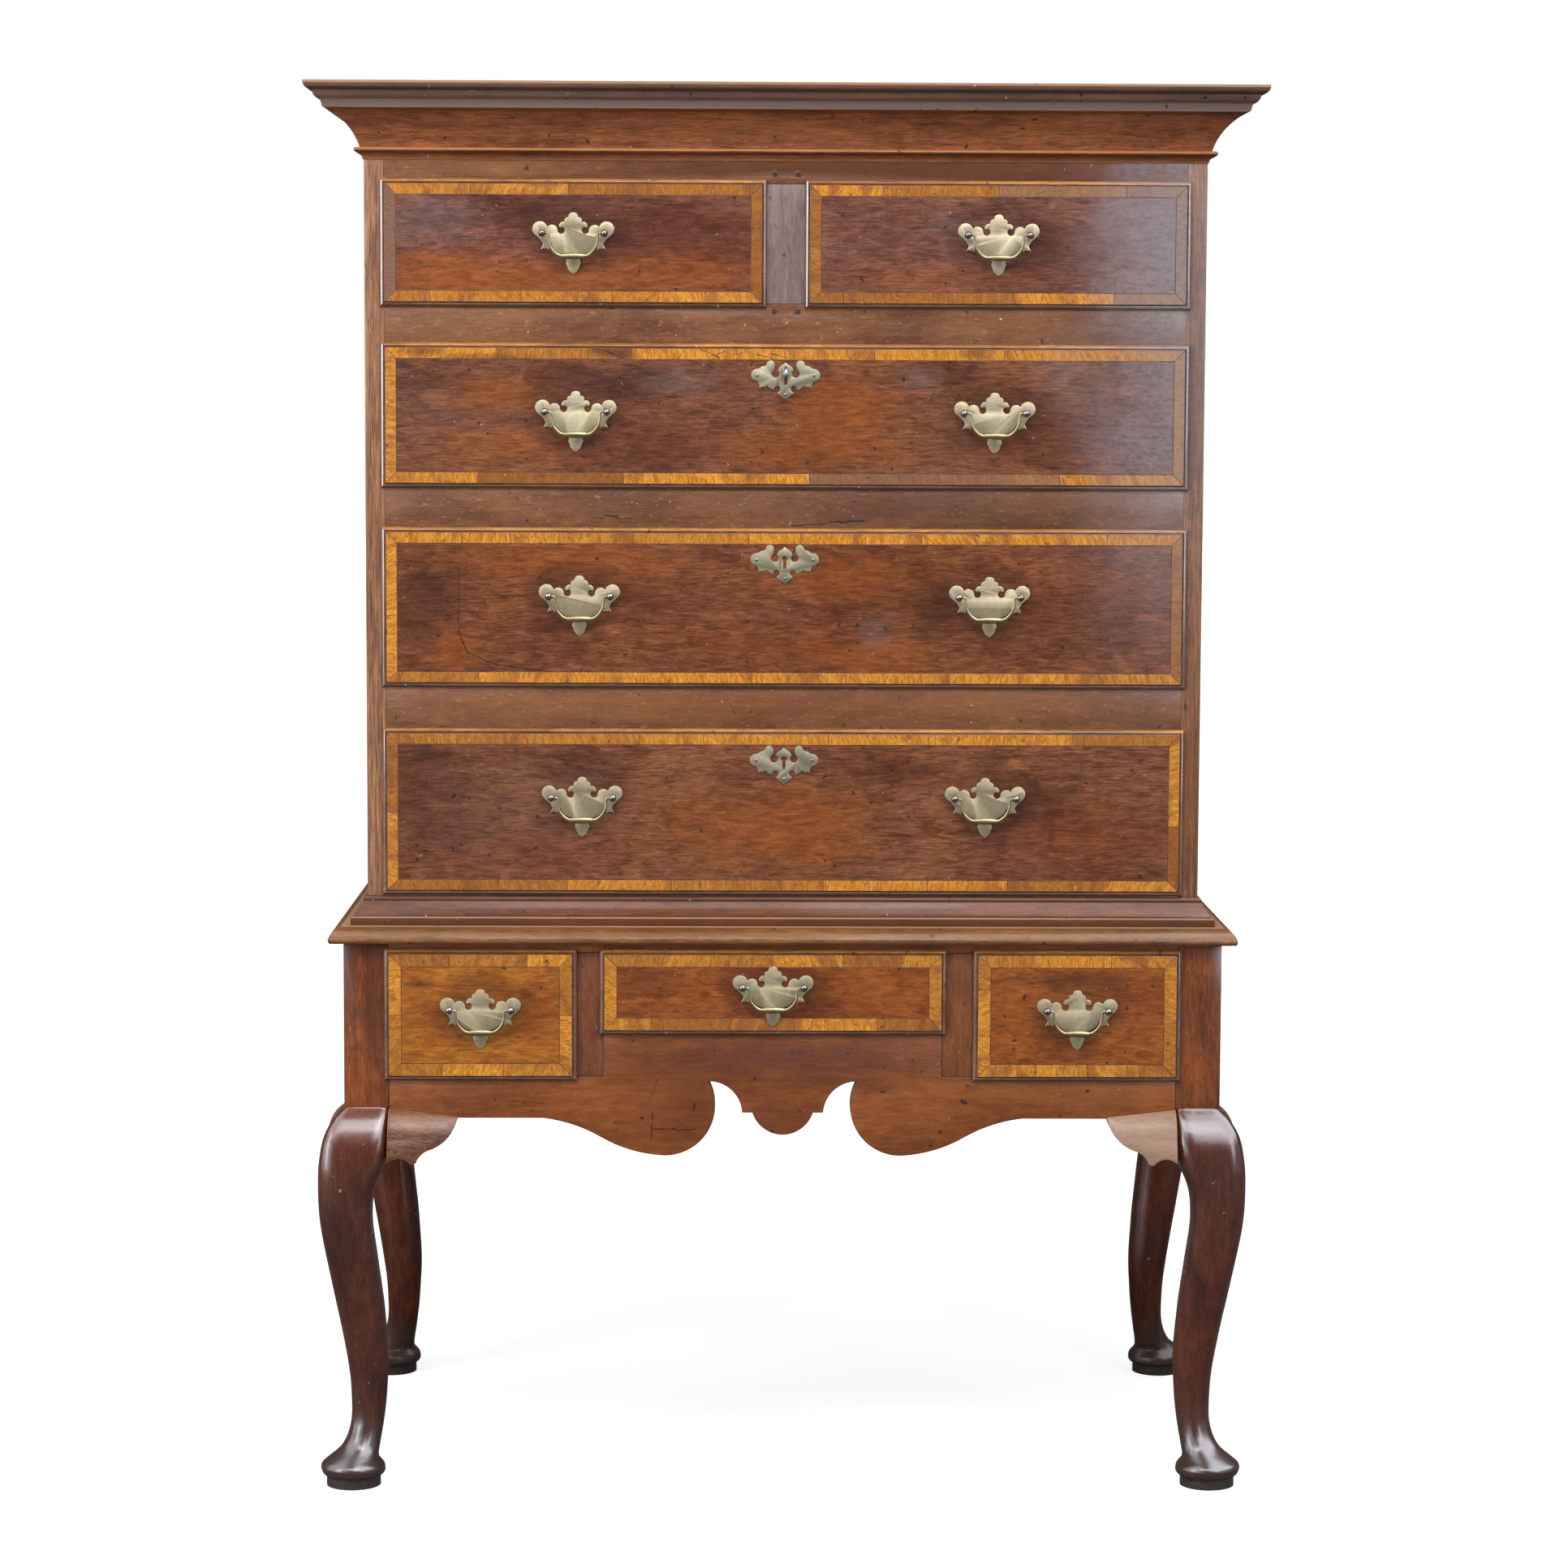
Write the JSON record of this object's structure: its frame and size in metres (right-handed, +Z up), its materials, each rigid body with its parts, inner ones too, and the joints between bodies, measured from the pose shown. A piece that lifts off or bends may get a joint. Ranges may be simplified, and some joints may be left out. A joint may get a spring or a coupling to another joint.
{
  "type": "tall chest of drawers on stand",
  "caption": "Tall oak chest of drawers on a stand with cabriole legs, a shaped apron, lipped crossbanded drawer fronts, swinging brass bail handles, key plates and a turning key.",
  "frame": {"origin": "centre of the footprint on the floor, below the middle of the chest", "axes": "+Z up, -Y towards the viewer of the drawer fronts, +X to that viewer's right"},
  "size_m": [1.066, 0.6265, 1.5864],
  "materials": {
    "case_oak": "waxed oak",
    "peg_oak": "waxed oak, end grain",
    "moulding_oak": "waxed oak",
    "drawer_front_oak": "waxed oak with crossbanding",
    "stand_front_oak": "waxed oak with crossbanding",
    "stand_oak": "waxed oak",
    "leg_oak": "polished oak",
    "lining_wood": "bare wood",
    "aged_brass": "dull aged brass",
    "lock_iron": "old wrought iron",
    "steel": "worn steel"
  },
  "bodies": {
    "carcase": {"upper_side_boards": "case_oak", "upper_top_and_bottom_boards": "lining_wood", "upper_back_boards": "lining_wood", "upper_front_rails": "case_oak", "upper_centre_upright": "case_oak", "joint_pegs": "peg_oak", "drawer_runners": "lining_wood", "cornice": "moulding_oak", "waist_moulding": "moulding_oak", "stand_top_frame": "moulding_oak", "leg_front_right": "leg_oak", "leg_front_left": "leg_oak", "leg_back_right": "leg_oak", "leg_back_left": "leg_oak", "stand_apron": "stand_oak", "stand_rail_and_uprights": "stand_oak", "stand_sides_and_back": "stand_oak", "knee_brackets": "stand_oak"},
    "upper_left_drawer": {"upper_left_drawer_front": "drawer_front_oak", "upper_left_drawer_box": "lining_wood", "upper_left_drawer_handle_mounts": "aged_brass"},
    "upper_left_drawer_bail": {"upper_left_drawer_bail": "aged_brass"},
    "upper_right_drawer": {"upper_right_drawer_front": "drawer_front_oak", "upper_right_drawer_box": "lining_wood", "upper_right_drawer_handle_mounts": "aged_brass"},
    "upper_right_drawer_bail": {"upper_right_drawer_bail": "aged_brass"},
    "top_long_drawer": {"top_long_drawer_front": "drawer_front_oak", "top_long_drawer_box": "lining_wood", "top_long_drawer_handle_mounts": "aged_brass", "top_long_drawer_lock_case": "lock_iron"},
    "top_long_drawer_left_bail": {"top_long_drawer_left_bail": "aged_brass"},
    "top_long_drawer_right_bail": {"top_long_drawer_right_bail": "aged_brass"},
    "top_long_drawer_lock_bolt": {"top_long_drawer_lock_bolt": "lock_iron"},
    "drawer_key": {"drawer_key": "steel"},
    "middle_long_drawer": {"middle_long_drawer_front": "drawer_front_oak", "middle_long_drawer_box": "lining_wood", "middle_long_drawer_handle_mounts": "aged_brass", "middle_long_drawer_lock_case": "lock_iron"},
    "middle_long_drawer_left_bail": {"middle_long_drawer_left_bail": "aged_brass"},
    "middle_long_drawer_right_bail": {"middle_long_drawer_right_bail": "aged_brass"},
    "middle_long_drawer_lock_bolt": {"middle_long_drawer_lock_bolt": "lock_iron"},
    "bottom_long_drawer": {"bottom_long_drawer_front": "drawer_front_oak", "bottom_long_drawer_box": "lining_wood", "bottom_long_drawer_handle_mounts": "aged_brass", "bottom_long_drawer_lock_case": "lock_iron"},
    "bottom_long_drawer_left_bail": {"bottom_long_drawer_left_bail": "aged_brass"},
    "bottom_long_drawer_right_bail": {"bottom_long_drawer_right_bail": "aged_brass"},
    "bottom_long_drawer_lock_bolt": {"bottom_long_drawer_lock_bolt": "lock_iron"},
    "stand_left_drawer": {"stand_left_drawer_front": "stand_front_oak", "stand_left_drawer_box": "lining_wood", "stand_left_drawer_handle_mounts": "aged_brass"},
    "stand_left_drawer_bail": {"stand_left_drawer_bail": "aged_brass"},
    "stand_centre_drawer": {"stand_centre_drawer_front": "stand_front_oak", "stand_centre_drawer_box": "lining_wood", "stand_centre_drawer_handle_mounts": "aged_brass"},
    "stand_centre_drawer_bail": {"stand_centre_drawer_bail": "aged_brass"},
    "stand_right_drawer": {"stand_right_drawer_front": "stand_front_oak", "stand_right_drawer_box": "lining_wood", "stand_right_drawer_handle_mounts": "aged_brass"},
    "stand_right_drawer_bail": {"stand_right_drawer_bail": "aged_brass"}
  },
  "joints": [
    {"name": "upper_left_drawer_slide", "type": "slide", "parent": "carcase", "child": "upper_left_drawer", "axis": [0, -1, 0], "range_m": [0, 0.38]},
    {"name": "upper_left_drawer_bail_swing", "type": "hinge", "parent": "upper_left_drawer", "child": "upper_left_drawer_bail", "pos_m": [-0.23768, -0.26785, 1.4222], "axis": [-1, 0, 0], "range_deg": [-9, 180]},
    {"name": "upper_right_drawer_slide", "type": "slide", "parent": "carcase", "child": "upper_right_drawer", "axis": [0, -1, 0], "range_m": [0, 0.38]},
    {"name": "upper_right_drawer_bail_swing", "type": "hinge", "parent": "upper_right_drawer", "child": "upper_right_drawer_bail", "pos_m": [0.23768, -0.26785, 1.4222], "axis": [-1, 0, 0], "range_deg": [-9, 180]},
    {"name": "top_long_drawer_slide", "type": "slide", "parent": "carcase", "child": "top_long_drawer", "axis": [0, -1, 0], "range_m": [0, 0.38]},
    {"name": "top_long_drawer_left_bail_swing", "type": "hinge", "parent": "top_long_drawer", "child": "top_long_drawer_left_bail", "pos_m": [-0.235, -0.26785, 1.224], "axis": [-1, 0, 0], "range_deg": [-9, 180]},
    {"name": "top_long_drawer_right_bail_swing", "type": "hinge", "parent": "top_long_drawer", "child": "top_long_drawer_right_bail", "pos_m": [0.235, -0.26785, 1.224], "axis": [-1, 0, 0], "range_deg": [-9, 180]},
    {"name": "top_long_drawer_lock_bolt_lift", "type": "slide", "parent": "top_long_drawer", "child": "top_long_drawer_lock_bolt", "axis": [0, 0, 1], "range_m": [0, 0.007]},
    {"name": "drawer_key_turn", "type": "hinge", "parent": "top_long_drawer", "child": "drawer_key", "pos_m": [0, -0.25945, 1.2667], "axis": [0, 1, 0], "range_deg": [0, 180]},
    {"name": "middle_long_drawer_slide", "type": "slide", "parent": "carcase", "child": "middle_long_drawer", "axis": [0, -1, 0], "range_m": [0, 0.38]},
    {"name": "middle_long_drawer_left_bail_swing", "type": "hinge", "parent": "middle_long_drawer", "child": "middle_long_drawer_left_bail", "pos_m": [-0.231, -0.26785, 1.0174], "axis": [-1, 0, 0], "range_deg": [-9, 180]},
    {"name": "middle_long_drawer_right_bail_swing", "type": "hinge", "parent": "middle_long_drawer", "child": "middle_long_drawer_right_bail", "pos_m": [0.231, -0.26785, 1.0174], "axis": [-1, 0, 0], "range_deg": [-9, 180]},
    {"name": "middle_long_drawer_lock_bolt_lift", "type": "slide", "parent": "middle_long_drawer", "child": "middle_long_drawer_lock_bolt", "axis": [0, 0, 1], "range_m": [0, 0.007]},
    {"name": "bottom_long_drawer_slide", "type": "slide", "parent": "carcase", "child": "bottom_long_drawer", "axis": [0, -1, 0], "range_m": [0, 0.38]},
    {"name": "bottom_long_drawer_left_bail_swing", "type": "hinge", "parent": "bottom_long_drawer", "child": "bottom_long_drawer_left_bail", "pos_m": [-0.228, -0.26785, 0.79], "axis": [-1, 0, 0], "range_deg": [-9, 180]},
    {"name": "bottom_long_drawer_right_bail_swing", "type": "hinge", "parent": "bottom_long_drawer", "child": "bottom_long_drawer_right_bail", "pos_m": [0.228, -0.26785, 0.79], "axis": [-1, 0, 0], "range_deg": [-9, 180]},
    {"name": "bottom_long_drawer_lock_bolt_lift", "type": "slide", "parent": "bottom_long_drawer", "child": "bottom_long_drawer_lock_bolt", "axis": [0, 0, 1], "range_m": [0, 0.007]},
    {"name": "stand_left_drawer_slide", "type": "slide", "parent": "carcase", "child": "stand_left_drawer", "axis": [0, -1, 0], "range_m": [0, 0.38]},
    {"name": "stand_left_drawer_bail_swing", "type": "hinge", "parent": "stand_left_drawer", "child": "stand_left_drawer_bail", "pos_m": [-0.34225, -0.29285, 0.5511], "axis": [-1, 0, 0], "range_deg": [-9, 180]},
    {"name": "stand_centre_drawer_slide", "type": "slide", "parent": "carcase", "child": "stand_centre_drawer", "axis": [0, -1, 0], "range_m": [0, 0.38]},
    {"name": "stand_centre_drawer_bail_swing", "type": "hinge", "parent": "stand_centre_drawer", "child": "stand_centre_drawer_bail", "pos_m": [-0.0115, -0.29285, 0.5774], "axis": [-1, 0, 0], "range_deg": [-9, 180]},
    {"name": "stand_right_drawer_slide", "type": "slide", "parent": "carcase", "child": "stand_right_drawer", "axis": [0, -1, 0], "range_m": [0, 0.38]},
    {"name": "stand_right_drawer_bail_swing", "type": "hinge", "parent": "stand_right_drawer", "child": "stand_right_drawer_bail", "pos_m": [0.33325, -0.29285, 0.5511], "axis": [-1, 0, 0], "range_deg": [-9, 180]}
  ],
  "couplings": [
    {"joint": "drawer_key_turn", "follows": "top_long_drawer_lock_bolt_lift", "rad_per_m": 448.79}
  ]
}
